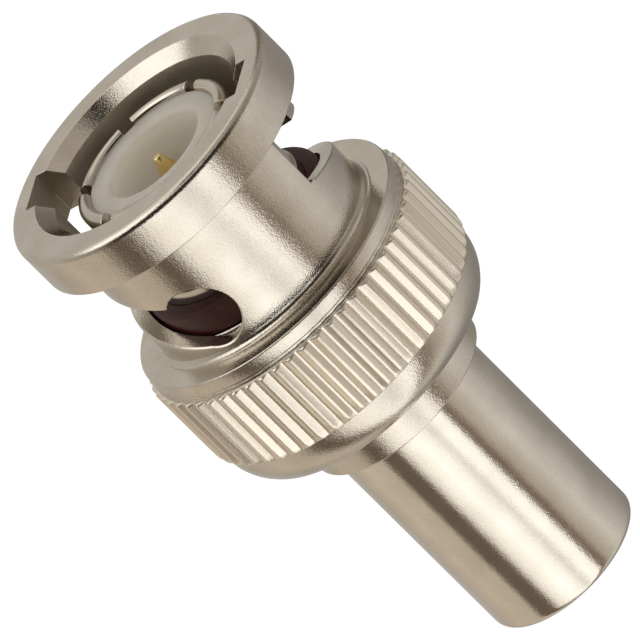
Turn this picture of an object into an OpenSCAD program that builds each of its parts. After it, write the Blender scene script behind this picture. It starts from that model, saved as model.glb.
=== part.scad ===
// Coaxial bayonet plug terminator: a knurled coupling nut turns and slides on a turned body,
// and a closed barrel behind it holds the load resistor.
// The part stands on its closed end, and Z runs up the axis towards the mating face.
// A depth is measured back from the nut's mating face, with the nut at its rear stop.
// One bayonet entry lies on +X and the other on -X.

/* [Overall] */
// Length from the closed end to the mating face
overall_len = 28.3; // [27:0.1:36]
// Axial gap between faces that turn or slide on each other
run_gap = 0.03; // [0.02:0.01:0.06]

/* [Coupling nut outside] */
// Radius of the front flange
flange_r = 6.98; // [6.6:0.01:7.6]
// Length of the front flange
flange_len = 2.24; // [1.8:0.01:2.8]
// Rounding of the flange's front edge
flange_edge_r = 0.33; // [0.1:0.01:0.5]
// Outer radius of the bayonet sleeve
sleeve_r = 5.65; // [5.4:0.01:5.85]
// Length from the flange to the shoulder face
sleeve_len = 6.15; // [5.9:0.01:7.5]
// Radius of the small step ring at the sleeve's root
step_r = 5.95; // [5.87:0.01:6.3]
// Length of the small step ring
step_len = 0.06; // [0.03:0.01:0.3]
// Cove between the sleeve and the step ring
root_fillet_r = 0.28; // [0.1:0.01:0.3]
// Radius of the shoulder face
shoulder_r = 6.96; // [6.6:0.01:7.0]
// Length of the smooth band in front of the knurl
band_len = 0.86; // [0.5:0.01:1.4]
// Length of the smooth tail behind the knurl
tail_len = 1.75; // [1.6:0.01:2.6]
// How far the rounded tail drops to its rear edge
tail_drop = 0.63; // [0.3:0.01:0.7]

/* [Knurl] */
// Radius over the ridges
knurl_r = 7.25; // [7.2:0.01:7.6]
// Radius at the bottom of the grooves
groove_r = 7.03; // [7.03:0.01:7.1]
// Length of the knurl
knurl_len = 4.1; // [3:0.01:6]
// Number of ridges
ridge_n = 58; // [40:1:72]
// Share of the pitch that a ridge's top takes
ridge_top_share = 0.2; // [0.1:0.01:0.5]
// Share of the pitch that a groove's floor takes
groove_floor_share = 0.14; // [0.1:0.01:0.4]
// Bevel on the ridge ends
ridge_bevel = 0.12; // [0.05:0.01:0.2]

/* [Coupling nut inside] */
// Radius of the mating bore
bore_r = 4.95; // [4.9:0.01:5.05]
// Radius of the mouth's chamfer at the face
mouth_r = 5.58; // [5.3:0.01:5.8]
// Depth of the mouth's chamfer
mouth_depth = 0.58; // [0.3:0.01:0.8]
// Wall between the shoulder face and the washer cavity
shoulder_wall = 0.56; // [0.4:0.01:0.9]
// Radius of the washer cavity
cavity_r = 6.1; // [6.05:0.01:6.25]
// Thickness of the rolled rear lip
lip_len = 0.9; // [0.7:0.01:1.2]
// Radial gap between the rear lip and the body
lip_clear = 0.1; // [0.05:0.01:0.15]

/* [Bayonet track] */
// Width of the straight entry channel
entry_w = 2.3; // [2.1:0.01:2.5]
// Distance from the axis to the channel's flat floor
entry_floor = 6.0; // [5.9:0.01:6.2]
// Depth of the track's centre where the entry meets the ramp
ramp_start = 4.57; // [4.2:0.01:4.8]
// Axial rise of the ramp from the entry to the pocket
ramp_rise = 2.1; // [1.6:0.01:2.2]
// Turn from the entry to the pocket
ramp_turn = 88; // [75:1:92]
// Width of the ramp across its own direction
ramp_w = 2.35; // [2.1:0.01:2.5]
// Radius of the round pocket
pocket_r = 1.62; // [1.5:0.01:1.65]
// How far the pocket's centre lies in front of the ramp's line
pocket_back = 0.4; // [0.2:0.01:0.6]

/* [Body] */
// Radius of the shaft and of the collar that shows behind the nut
shaft_r = 4.54; // [4.4:0.01:4.6]
// Length of the collar that shows behind the nut
collar_len = 2.0; // [1.5:0.01:3]
// Radial gap between the hub and the nut's bore
hub_clear = 0.07; // [0.03:0.01:0.1]
// Length of the hub in front of the body's flange
hub_len = 1.23; // [1:0.01:1.5]
// Radial gap between the body's flange and the washer cavity
body_flange_clear = 0.08; // [0.04:0.01:0.1]
// Thickness of the body's flange
body_flange_len = 1.6; // [1.2:0.01:1.8]
// Length of the spigot that the barrel is pressed on
spigot_len = 2.5; // [1.5:0.01:3.5]
// Wall of the spigot
spigot_wall = 0.58; // [0.4:0.01:0.8]
// Radius of the hole through the body's inner web
web_hole_r = 2.3; // [1.8:0.01:2.5]
// Thickness of the body's inner web
web_len = 0.8; // [0.5:0.01:1.2]
// Bevel on the body's outer edges
body_bevel = 0.1; // [0.05:0.01:0.15]

/* [Outer contact] */
// Radius of the finger tips and of the root tube
contact_r = 4.1; // [4.05:0.01:4.15]
// Bore of the contact, and the insulator's radius
contact_bore_r = 3.45; // [3.4:0.01:3.55]
// Depth of the finger tips
contact_recess = 0.88; // [0.7:0.01:1.1]
// Length of the thicker finger tips
tip_len = 0.95; // [0.6:0.01:1.3]
// Rounding of the finger tips
tip_edge_r = 0.16; // [0.05:0.01:0.25]
// How much thinner the fingers are behind their tips
finger_relief = 0.15; // [0.05:0.01:0.25]
// Length of the finger slots
finger_slot_len = 4.4; // [3:0.01:4.6]
// Width of the finger slots
finger_slot_w = 0.64; // [0.3:0.01:0.9]
// Number of fingers
finger_n = 6; // [4:1:8]
// Turn of the first slot from the bayonet entry
finger_turn = 6; // [0:1:59]
// How deep the contact is pressed into the body
contact_seat = 1.65; // [1.2:0.01:1.8]
// Length of the full tube in front of the gasket
contact_root_len = 0.6; // [0.3:0.01:0.9]

/* [Gasket] */
// Length of the gasket
gasket_len = 1.45; // [0.8:0.01:1.6]
// Outer radius of the gasket
gasket_r = 4.8; // [4.6:0.01:4.82]
// Rounding of the gasket's edges
gasket_edge_r = 0.2; // [0.1:0.01:0.25]

/* [Insulators] */
// Depth of the front insulator's rim
insulator_recess = 1.12; // [1.0:0.01:1.4]
// Radius of the cup round the pin
cup_r = 2.42; // [2.2:0.01:2.6]
// Depth of the cup
cup_len = 5.2; // [4:0.01:6]
// Rounding of the cup's rim
rim_r = 0.22; // [0.1:0.01:0.35]
// Length of front insulator seated inside the body behind the contact
insulator_seat = 0.5; // [0.3:0.01:0.8]
// Radius of the rear insulator
rear_insulator_r = 2.9; // [2.6:0.01:3.1]
// Length of the rear insulator
rear_insulator_len = 2.7; // [2:0.01:3.2]

/* [Centre contact] */
// Radius of the pin
pin_r = 0.675; // [0.6:0.005:0.7]
// Depth of the pin's tip
pin_recess = 1.38; // [1.2:0.01:1.8]
// Length of the pin's tapered nose
nose_len = 1.5; // [0.8:0.01:2]
// Radius of the pin's flat tip
nose_r = 0.2; // [0.1:0.01:0.3]
// Radius of the thicker shank inside the insulator
shank_r = 0.85; // [0.75:0.01:0.95]
// Radius of the collar that locks the pin
pin_collar_r = 1.1; // [1:0.01:1.5]
// Length of the collar that locks the pin
pin_collar_len = 0.7; // [0.4:0.01:1]
// Radius of the solder cup behind the collar
tail_r = 0.75; // [0.7:0.01:0.85]
// Length of the tail behind the rear insulator
tail_out = 1.6; // [1.2:0.01:2]
// Depth of the hole in the solder cup
solder_hole_len = 1.6; // [1.2:0.01:2.4]

/* [Washers] */
// Thickness of the flat washers
washer_t = 0.3; // [0.2:0.01:0.35]
// Thickness of the spacer between the wave washers
spacer_t = 0.25; // [0.15:0.01:0.3]
// Thickness of the wave washers
wave_t = 0.22; // [0.15:0.01:0.25]
// Number of waves round a washer
wave_n = 3; // [3:1:4]
// Radial gap between the washers and the shaft
washer_clear = 0.08; // [0.04:0.01:0.1]

/* [Load resistor] */
// Radius of the resistor's coated body
resistor_r = 1.15; // [1:0.01:1.6]
// Share of the room between the pin's tail and the ground disc that the capped resistor fills
resistor_share = 0.573; // [0.45:0.001:0.65]
// Wall of the resistor's caps
cap_wall = 0.18; // [0.1:0.01:0.25]
// Length of a cap as a share of the resistor's length
cap_share = 0.182; // [0.12:0.001:0.3]
// Radius of the lead wires
lead_r = 0.3; // [0.2:0.01:0.35]
// Gap round a lead that the solder fills
solder_gap = 0.05; // [0.03:0.01:0.08]
// Share of the room between the pin's tail and the ground disc that the front lead crosses
front_lead_share = 0.155; // [0.1:0.001:0.25]
// Height of the solder fillets
solder_rise = 0.35; // [0.2:0.01:0.5]
// Length of lead that stands out of the rear solder
lead_stub = 0.1; // [0.05:0.01:0.3]
// Radius of the solder dome on the ground disc
dome_r = 0.8; // [0.6:0.01:1.2]

/* [Barrel] */
// Outer radius of the closed barrel
barrel_r = 3.88; // [3.75:0.01:4.1]
// Wall of the barrel
barrel_wall = 0.4; // [0.3:0.01:0.5]
// Thickness of the closed end
end_wall = 0.7; // [0.5:0.01:1]
// Rounding of the closed end's edge
end_edge_r = 0.35; // [0.2:0.01:0.5]
// Thickness of the ground disc
disc_t = 0.8; // [0.5:0.01:1.2]
// Free space between the ground disc and the closed end
end_space = 1.6; // [1:0.01:2]

/* [Hidden] */
$fn = 96;
arc_steps = 5;
// Length by which a cutter passes a face that it opens
cut_over = 1;

nickel = "#b5ada0";
gold = "#d9b24c";
ptfe = "#d8d2c8";
silicone = "#6e1f1a";
steel = "#a8a49c";
tin = "#c4c2ba";
enamel = "#7fa3a8";
solder = "#b8b8b4";

// Bevel on the turned edges
edge_bevel = 0.07;
// Plain land behind the ridges, before the tail's arc
tail_land = 0.25;
// Height of the groove floors over the plain band
groove_rise = 0.03;
// Radial depth by which the ridges are rooted outside the cavity
ridge_root = 0.5;
// Turn, in degrees, that the ramp starts inside the entry channel
ramp_lap = 3;
ramp_steps = 18;
// Radial reach of the track's cutters past the step ring
track_over = 0.4;
// Ridges between the entry and the plain wall where the blank's outline starts
seam_ridges = 8;
wave_steps = 20;

// Depths along the nut
shoulder = flange_len + sleeve_len;
knurl_front = shoulder + band_len;
knurl_rear = knurl_front + knurl_len;
nut_rear = knurl_rear + tail_len;
cavity_front = shoulder + shoulder_wall;
cavity_rear = nut_rear - lip_len;
tail_start = knurl_rear + tail_land;
tail_arc_len = nut_rear - tail_start;
tail_arc_r = (pow(tail_drop, 2) + pow(tail_arc_len, 2)) / (2 * tail_drop);
tail_arc_turn = asin(tail_arc_len / tail_arc_r);
band_r = groove_r - groove_rise;

// Bayonet track
ramp_angle = atan(ramp_rise / (sleeve_r * ramp_turn * PI / 180));
ramp_h = ramp_w / cos(ramp_angle);
entry_turn = asin(entry_w / 2 / sleeve_r);
entry_end = ramp_start + ramp_h / 2 - ramp_rise * entry_turn / ramp_turn;
ramp_from = ramp_lap - entry_turn;
pocket_depth = ramp_start + ramp_rise - pocket_back;
cut_in_r = contact_r;
cut_out_r = step_r + track_over;
blank_start = seam_ridges * 360 / ridge_n;

// Depths along the body
body_flange_front = cavity_front + run_gap;
body_flange_rear = body_flange_front + body_flange_len;
hub_front = body_flange_front - hub_len;
collar_rear = nut_rear + collar_len;
spigot_r = barrel_r - barrel_wall;
spigot_rear = collar_rear + spigot_len;
contact_rear = hub_front + contact_seat;
insulator_rear = contact_rear + insulator_seat;
cup_rear = insulator_recess + cup_len;
rear_insulator_rear = insulator_rear + rear_insulator_len;
web_rear = rear_insulator_rear + web_len;
gasket_front = hub_front - gasket_len;

// Washer stack between the body's flange and the nut's rear lip
stack_front = body_flange_rear + run_gap;
stack_rear = cavity_rear - run_gap;
wave_h = (stack_rear - stack_front - 2 * washer_t - spacer_t - 4 * run_gap) / 2;
front_wave = stack_front + washer_t + run_gap;
spacer = front_wave + wave_h + run_gap;
rear_wave = spacer + spacer_t + run_gap;
rear_washer = rear_wave + wave_h + run_gap;
washer_bore_r = shaft_r + washer_clear;
washer_r = cavity_r - washer_clear;

// Depths along the pin and the load
tail_rear = rear_insulator_rear + tail_out;
solder_hole_r = lead_r + solder_gap;
disc_rear = overall_len - end_wall - end_space;
disc_front = disc_rear - disc_t;
load_room = disc_front - tail_rear;
resistor_len = load_room * resistor_share;
resistor_front = tail_rear + load_room * front_lead_share;
resistor_rear = resistor_front + resistor_len;
cap_len = resistor_len * cap_share;
lead_end = disc_rear + solder_rise + lead_stub;

// Points of a round stretch of an outline, from angle a to angle b about a centre
function arc(centre, r, a, b) =
    [for (i = [0:arc_steps]) let (t = a + (b - a) * i / arc_steps) centre + r * [cos(t), sin(t)]];

// A turned solid from an outline of [radius, depth] points
module turned(outline) {
    rotate_extrude() polygon([for (p = outline) [p[0], overall_len - p[1]]]);
}

// A turned ring between two radii and two depths
module ring(inner, outer, front, rear) {
    turned([[inner, front], [outer, front], [outer, rear], [inner, rear]]);
}

// A round rod between two depths
module rod(r, front, rear) {
    translate([0, 0, overall_len - rear]) cylinder(r = r, h = rear - front);
}

module nut_blank() {
    turned(concat(
        [[mouth_r, 0]],
        arc([flange_r - flange_edge_r, flange_edge_r], flange_edge_r, -90, 0),
        [
            [flange_r, flange_len - edge_bevel],
            [flange_r - edge_bevel, flange_len],
            [sleeve_r, flange_len]
        ],
        arc([sleeve_r + root_fillet_r, shoulder - step_len - root_fillet_r], root_fillet_r, 180, 90),
        [
            [step_r, shoulder - step_len],
            [step_r, shoulder],
            [shoulder_r - edge_bevel, shoulder],
            [shoulder_r, shoulder + edge_bevel],
            [band_r, knurl_front],
            [band_r, tail_start]
        ],
        arc([band_r - tail_arc_r, tail_start], tail_arc_r, 0, tail_arc_turn),
        [
            [shaft_r + lip_clear, nut_rear],
            [shaft_r + lip_clear, cavity_rear],
            [cavity_r, cavity_rear],
            [cavity_r, cavity_front],
            [bore_r, cavity_front],
            [bore_r, mouth_depth]
        ]
    ));
}

// Straight V-shaped ridges, cut as one star and turned to size with bevelled ends
module knurl() {
    pitch = 360 / ridge_n;
    core_r = cavity_r + ridge_root;
    foot = (1 - groove_floor_share) / 2;
    apex_r = groove_r + (knurl_r - groove_r) * foot / (foot - ridge_top_share / 2);
    intersection() {
        translate([0, 0, overall_len - knurl_rear])
            linear_extrude(knurl_len) polygon([
                for (i = [0:ridge_n - 1], corner = [[apex_r, 0], [groove_r, foot], [groove_r, 1 - foot]])
                let (t = (i + corner[1]) * pitch) corner[0] * [cos(t), sin(t)]
            ]);
        turned([
            [core_r, knurl_front],
            [knurl_r - ridge_bevel, knurl_front],
            [knurl_r, knurl_front + ridge_bevel],
            [knurl_r, knurl_rear - 2 * ridge_bevel],
            [knurl_r - ridge_bevel, knurl_rear],
            [core_r, knurl_rear]
        ]);
    }
}

// The sloping part of one bayonet track, swept round the sleeve from just inside the entry to the pocket
module ramp_cut() {
    turns = [for (i = [0:ramp_steps]) ramp_from + (ramp_turn - ramp_from) * i / ramp_steps];
    corners = [[cut_in_r, -1], [cut_out_r, -1], [cut_out_r, 1], [cut_in_r, 1]];
    points = [
        for (t = turns, c = corners)
        let (depth = ramp_start + ramp_rise * t / ramp_turn)
        [c[0] * cos(t), c[0] * sin(t), overall_len - depth + c[1] * ramp_h / 2]
    ];
    sides = [
        for (i = [0:ramp_steps - 1], k = [0:3])
        let (a = 4 * i + k, b = 4 * i + (k + 1) % 4)
        [a, b, b + 4, a + 4]
    ];
    last = 4 * ramp_steps;
    polyhedron(points, concat([[3, 2, 1, 0]], sides, [[last, last + 1, last + 2, last + 3]]));
}

// One whole bayonet track: entry channel, ramp and round pocket
module bayonet_track() {
    translate([0, -entry_w / 2, overall_len - entry_end])
        cube([entry_floor, entry_w, entry_end + cut_over]);
    ramp_cut();
    rotate([0, 0, ramp_turn])
        translate([cut_in_r, 0, overall_len - pocket_depth])
            rotate([0, 90, 0]) cylinder(r = pocket_r, h = cut_out_r - cut_in_r);
}

module coupling_nut() {
    color(nickel) difference() {
        union() {
            // The blank's outline starts in the plain wall between the tracks, in line with a ridge
            rotate([0, 0, -blank_start]) nut_blank();
            knurl();
        }
        for (side = [0, 180]) rotate([0, 0, side]) bayonet_track();
    }
}

module plug_body() {
    hub_r = bore_r - hub_clear;
    body_flange_r = cavity_r - body_flange_clear;
    spigot_bore_r = spigot_r - spigot_wall;
    color(nickel) turned([
        [contact_r, hub_front],
        [hub_r - body_bevel, hub_front],
        [hub_r, hub_front + body_bevel],
        [hub_r, body_flange_front],
        [body_flange_r, body_flange_front],
        [body_flange_r, body_flange_rear],
        [shaft_r, body_flange_rear],
        [shaft_r, collar_rear - body_bevel],
        [shaft_r - body_bevel, collar_rear],
        [spigot_r, collar_rear],
        [spigot_r, spigot_rear],
        [spigot_bore_r, spigot_rear],
        [spigot_bore_r, web_rear],
        [web_hole_r, web_rear],
        [web_hole_r, rear_insulator_rear],
        [rear_insulator_r, rear_insulator_rear],
        [rear_insulator_r, insulator_rear],
        [contact_bore_r, insulator_rear],
        [contact_bore_r, contact_rear],
        [contact_r, contact_rear]
    ]);
}

module outer_contact() {
    finger_rear = contact_recess + finger_slot_len;
    neck_r = contact_r - finger_relief;
    tip_rear = contact_recess + tip_len;
    root_front = gasket_front - contact_root_len;
    color(nickel) difference() {
        turned(concat(
            [[contact_bore_r, contact_recess]],
            arc([contact_r - tip_edge_r, contact_recess + tip_edge_r], tip_edge_r, -90, 0),
            [
                [contact_r, tip_rear],
                [neck_r, tip_rear + finger_relief],
                [neck_r, root_front - finger_relief],
                [contact_r, root_front],
                [contact_r, contact_rear],
                [contact_bore_r, contact_rear]
            ]
        ));
        for (i = [0:finger_n - 1])
            rotate([0, 0, finger_turn + 360 * i / finger_n])
                translate([contact_bore_r / 2, -finger_slot_w / 2, overall_len - finger_rear])
                    cube([contact_r, finger_slot_w, finger_slot_len + cut_over]);
    }
}

module gasket() {
    color(silicone) turned(concat(
        [[contact_r, gasket_front]],
        arc([gasket_r - gasket_edge_r, gasket_front + gasket_edge_r], gasket_edge_r, -90, 0),
        arc([gasket_r - gasket_edge_r, hub_front - gasket_edge_r], gasket_edge_r, 0, 90),
        [[contact_r, hub_front]]
    ));
}

module front_insulator() {
    color(ptfe) turned(concat(
        arc([cup_r + rim_r, insulator_recess + rim_r], rim_r, 180, 270),
        [
            [contact_bore_r - edge_bevel, insulator_recess],
            [contact_bore_r, insulator_recess + edge_bevel],
            [contact_bore_r, insulator_rear],
            [shank_r, insulator_rear],
            [shank_r, cup_rear],
            [cup_r, cup_rear]
        ]
    ));
}

module rear_insulator() {
    color(ptfe) turned([
        [pin_collar_r, insulator_rear],
        [rear_insulator_r, insulator_rear],
        [rear_insulator_r, rear_insulator_rear],
        [tail_r, rear_insulator_rear],
        [tail_r, insulator_rear + pin_collar_len],
        [pin_collar_r, insulator_rear + pin_collar_len]
    ]);
}

module centre_contact() {
    hole_front = tail_rear - solder_hole_len;
    color(gold) turned([
        [0, pin_recess],
        [nose_r, pin_recess],
        [pin_r, pin_recess + nose_len],
        [pin_r, cup_rear],
        [shank_r, cup_rear],
        [shank_r, insulator_rear],
        [pin_collar_r, insulator_rear],
        [pin_collar_r, insulator_rear + pin_collar_len],
        [tail_r, insulator_rear + pin_collar_len],
        [tail_r, tail_rear],
        [solder_hole_r, tail_rear],
        [solder_hole_r, hole_front],
        [0, hole_front]
    ]);
}

module thrust_washer_front() {
    color(steel) ring(washer_bore_r, washer_r, stack_front, stack_front + washer_t);
}

module spacer_washer() {
    color(steel) ring(washer_bore_r, washer_r, spacer, spacer + spacer_t);
}

module thrust_washer_rear() {
    color(steel) ring(washer_bore_r, washer_r, rear_washer, rear_washer + washer_t);
}

// A spring washer whose flat section rises and falls round the ring
module wave_washer(front) {
    steps = wave_steps * wave_n;
    swing = (wave_h - wave_t) / 2;
    corners = [[washer_bore_r, -1], [washer_r, -1], [washer_r, 1], [washer_bore_r, 1]];
    points = [
        for (i = [0:steps - 1], c = corners)
        let (t = 360 * i / steps, middle = front + wave_h / 2 + swing * cos(wave_n * t))
        [c[0] * cos(t), c[0] * sin(t), overall_len - middle + c[1] * wave_t / 2]
    ];
    faces = [
        for (i = [0:steps - 1], k = [0:3])
        let (j = (i + 1) % steps, m = (k + 1) % 4)
        [4 * i + k, 4 * i + m, 4 * j + m, 4 * j + k]
    ];
    color(steel) polyhedron(points, faces);
}

module wave_washer_front() {
    wave_washer(front_wave);
}

module wave_washer_rear() {
    wave_washer(rear_wave);
}

module resistor_body() {
    core_r = resistor_r - cap_wall / 2;
    color(enamel) turned([
        [0, resistor_front + cap_wall],
        [core_r, resistor_front + cap_wall],
        [core_r, resistor_front + cap_len],
        [resistor_r, resistor_front + cap_len],
        [resistor_r, resistor_rear - cap_len],
        [core_r, resistor_rear - cap_len],
        [core_r, resistor_rear - cap_wall],
        [0, resistor_rear - cap_wall]
    ]);
}

// A pressed cap over one end of the resistor; way is 1 for the front cap and -1 for the rear one
module resistor_cap(end, way) {
    core_r = resistor_r - cap_wall / 2;
    color(tin) turned([
        [0, end],
        [core_r + cap_wall, end],
        [core_r + cap_wall, end + way * cap_len],
        [core_r, end + way * cap_len],
        [core_r, end + way * cap_wall],
        [0, end + way * cap_wall]
    ]);
}

module resistor_cap_front() {
    resistor_cap(resistor_front, 1);
}

module resistor_cap_rear() {
    resistor_cap(resistor_rear, -1);
}

module resistor_lead_front() {
    color(tin) rod(lead_r, tail_rear - solder_hole_len, resistor_front);
}

module resistor_lead_rear() {
    color(tin) rod(lead_r, resistor_rear, lead_end);
}

// Solder in the pin's cup, with a fillet round the lead
module solder_front() {
    color(solder) turned([
        [lead_r, tail_rear - solder_hole_len],
        [solder_hole_r, tail_rear - solder_hole_len],
        [solder_hole_r, tail_rear],
        [tail_r, tail_rear],
        [lead_r + solder_gap, tail_rear + solder_rise],
        [lead_r, tail_rear + solder_rise]
    ]);
}

module ground_disc() {
    color(nickel) ring(solder_hole_r, spigot_r, disc_front, disc_rear);
}

// Solder in the ground disc's hole, with a dome on its rear face
module solder_rear() {
    color(solder) turned([
        [lead_r, disc_front],
        [solder_hole_r, disc_front],
        [solder_hole_r, disc_rear],
        [dome_r, disc_rear],
        [lead_r + solder_gap, disc_rear + solder_rise],
        [lead_r, disc_rear + solder_rise]
    ]);
}

module rear_barrel() {
    color(nickel) turned(concat(
        [
            [0, overall_len - end_wall],
            [spigot_r, overall_len - end_wall],
            [spigot_r, collar_rear],
            [barrel_r, collar_rear]
        ],
        arc([barrel_r - end_edge_r, overall_len - end_edge_r], end_edge_r, 0, 90),
        [[0, overall_len]]
    ));
}

coupling_nut();
plug_body();
rear_barrel();
outer_contact();
gasket();
front_insulator();
centre_contact();
rear_insulator();
thrust_washer_front();
wave_washer_front();
spacer_washer();
wave_washer_rear();
thrust_washer_rear();
resistor_body();
resistor_cap_front();
resistor_cap_rear();
resistor_lead_front();
resistor_lead_rear();
solder_front();
ground_disc();
solder_rear();
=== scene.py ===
# A coaxial bayonet terminator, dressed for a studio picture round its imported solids
import math
import bmesh
import bpy
from mathutils import Matrix, Vector


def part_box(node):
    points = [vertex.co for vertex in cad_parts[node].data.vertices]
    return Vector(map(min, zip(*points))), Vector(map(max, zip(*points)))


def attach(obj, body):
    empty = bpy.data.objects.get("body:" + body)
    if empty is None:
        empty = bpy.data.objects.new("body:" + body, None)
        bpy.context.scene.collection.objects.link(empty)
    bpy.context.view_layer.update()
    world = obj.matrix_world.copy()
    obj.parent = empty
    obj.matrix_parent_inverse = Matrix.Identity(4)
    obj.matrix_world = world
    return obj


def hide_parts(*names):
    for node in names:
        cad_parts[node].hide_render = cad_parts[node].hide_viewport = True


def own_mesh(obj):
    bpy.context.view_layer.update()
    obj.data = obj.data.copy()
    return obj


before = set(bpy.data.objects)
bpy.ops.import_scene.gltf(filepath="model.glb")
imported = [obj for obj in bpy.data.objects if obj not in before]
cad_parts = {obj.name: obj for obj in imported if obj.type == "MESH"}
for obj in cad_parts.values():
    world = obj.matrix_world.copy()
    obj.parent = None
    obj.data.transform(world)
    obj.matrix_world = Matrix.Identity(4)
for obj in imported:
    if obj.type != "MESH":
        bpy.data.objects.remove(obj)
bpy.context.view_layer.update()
mm = 0.001                                   # everything below is written in millimetres
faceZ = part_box("coupling_nut")[1].z / mm     # the mating face; depths are measured back from it
print("frame loaded,", len(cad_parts), "nodes, mating face at", round(faceZ, 2), "mm")

# Helpers for nodes


def linearColour(hexText):
    out = []
    for i in (1, 3, 5):
        c = int(hexText[i:i + 2], 16) / 255
        out.append(c / 12.92 if c <= 0.04045 else ((c + 0.055) / 1.055) ** 2.4)
    return (out[0], out[1], out[2], 1.0)


def addNode(tree, kind, settings=None, links=None):
    # settings are attributes or sockets' values, links are the sockets that feed this one
    node = tree.nodes.new(kind)
    for key, value in (settings or {}).items():
        if isinstance(key, str) and hasattr(node, key):
            setattr(node, key, value)
        else:
            node.inputs[key].default_value = value
    for key, source in (links or {}).items():
        tree.links.new(source, node.inputs[key])
    return node


def rampOf(tree, value, stops):
    ramp = addNode(tree, "ShaderNodeValToRGB", None, {"Fac": value})
    line = ramp.color_ramp
    while len(line.elements) < len(stops):
        line.elements.new(0.5)
    for element, (at, colour) in zip(line.elements, stops):
        element.position = at
        element.color = linearColour(colour)
    return ramp.outputs["Color"]


def mixOf(tree, share, one, two, blend="MIX"):
    # one goes to two as share goes from 0 to 1; each is a socket, and two may be a hex colour
    node = addNode(tree, "ShaderNodeMix", {"data_type": "RGBA", "blend_type": blend}, {6: one})
    if isinstance(share, float):
        node.inputs[0].default_value = share
    else:
        tree.links.new(share, node.inputs[0])
    if isinstance(two, str):
        node.inputs[7].default_value = linearColour(two)
    else:
        tree.links.new(two, node.inputs[7])
    return node.outputs[2]


def stepOf(tree, value, start, end, height=1.0, shape="LINEAR"):
    # nothing up to start, the whole height from end on
    return addNode(
        tree, "ShaderNodeMapRange",
        {"interpolation_type": shape, "From Min": start, "From Max": end, "To Max": height},
        {"Value": value},
    ).outputs["Result"]


# Helpers for meshes


def newObject(name, data):
    obj = bpy.data.objects.new(name, data)
    bpy.context.scene.collection.objects.link(obj)
    return obj


def meshFrom(work, name):
    mesh = bpy.data.meshes.new(name)
    work.to_mesh(mesh)
    work.free()
    return mesh


def plainMesh(obj):
    # the evaluated object becomes a plain mesh, and its modifiers go
    graph = bpy.context.evaluated_depsgraph_get()
    mesh = bpy.data.meshes.new_from_object(obj.evaluated_get(graph), depsgraph=graph)
    obj.modifiers.clear()
    old = obj.data
    obj.data = mesh
    bpy.data.meshes.remove(old)


def onRing(radius, turn, height):
    return (radius * mm * math.cos(turn), radius * mm * math.sin(turn), height * mm)


def rounded(corners, steps=4):
    # corners are (radius, depth, edge rounding); the closed outline comes back with arcs for corners,
    # and with a support point each side of an arc that keeps the flats flat under smooth shading
    outline = []
    count = len(corners)
    for i, (x, y, edge) in enumerate(corners):
        here = Vector((x, y))
        if edge <= 0:
            outline.append((x, y, 0))
            continue
        toLast = Vector(corners[i - 1][:2]) - here
        toNext = Vector(corners[(i + 1) % count][:2]) - here
        before = toLast.normalized()
        after = toNext.normalized()
        half = before.angle(after) / 2
        reach = edge / math.tan(half)
        centre = here + (before + after).normalized() * (edge / math.sin(half))
        start = here + before * reach - centre
        end = here + after * reach - centre
        turn = -start.angle_signed(end)
        arc = [centre + Matrix.Rotation(turn * k / steps, 2) @ start for k in range(steps + 1)]
        support = 0.3 * edge
        roomy = 3 * reach + support          # a side shorter than this takes no support point
        if toLast.length > roomy:
            arc.insert(0, here + before * (reach + support))
        if toNext.length > roomy:
            arc.append(here + after * (reach + support))
        outline += [(p.x, p.y, 0) for p in arc]
    return outline


def stripMesh(name, columns):
    # closed outlines joined side by side, open at both ends: the slice of a ring
    work = bmesh.new()
    grid = [[work.verts.new(point) for point in column] for column in columns]
    for left, right in zip(grid, grid[1:]):
        for k in range(len(left)):
            m = (k + 1) % len(left)
            work.faces.new((left[k], right[k], right[m], left[m]))
    return meshFrom(work, name)


def cutterMesh(name, rings):
    # closed outlines joined one after the other, with a face over each end
    work = bmesh.new()
    grid = [[work.verts.new(point) for point in ring] for ring in rings]
    for one, two in zip(grid, grid[1:]):
        for k in range(len(one)):
            m = (k + 1) % len(one)
            work.faces.new((one[k], one[m], two[m], two[k]))
    work.faces.new(reversed(grid[0]))
    work.faces.new(grid[-1])
    bmesh.ops.recalc_face_normals(work, faces=work.faces)
    return meshFrom(work, name)


def boxMesh(name, low, high):
    work = bmesh.new()
    bmesh.ops.create_cube(work, size=1)
    for v in work.verts:
        v.co = Vector([(low[k] + (v.co[k] + 0.5) * (high[k] - low[k])) * mm for k in range(3)])
    return meshFrom(work, name)


def wedgeMesh(name, outline, columns, turn):
    # one slice of a turned piece: the outline is (radius, depth, height of a ridge there),
    # the columns are (share of the slice's turn, share of the ridge's height)
    return stripMesh(name, [
        [onRing(r + rise * ridge, turn * share, faceZ - d) for r, d, rise in outline]
        for share, ridge in columns
    ])


# Geometry Nodes tree: copies a slice round the axis, then cuts copies of the cutters out of it


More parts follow.
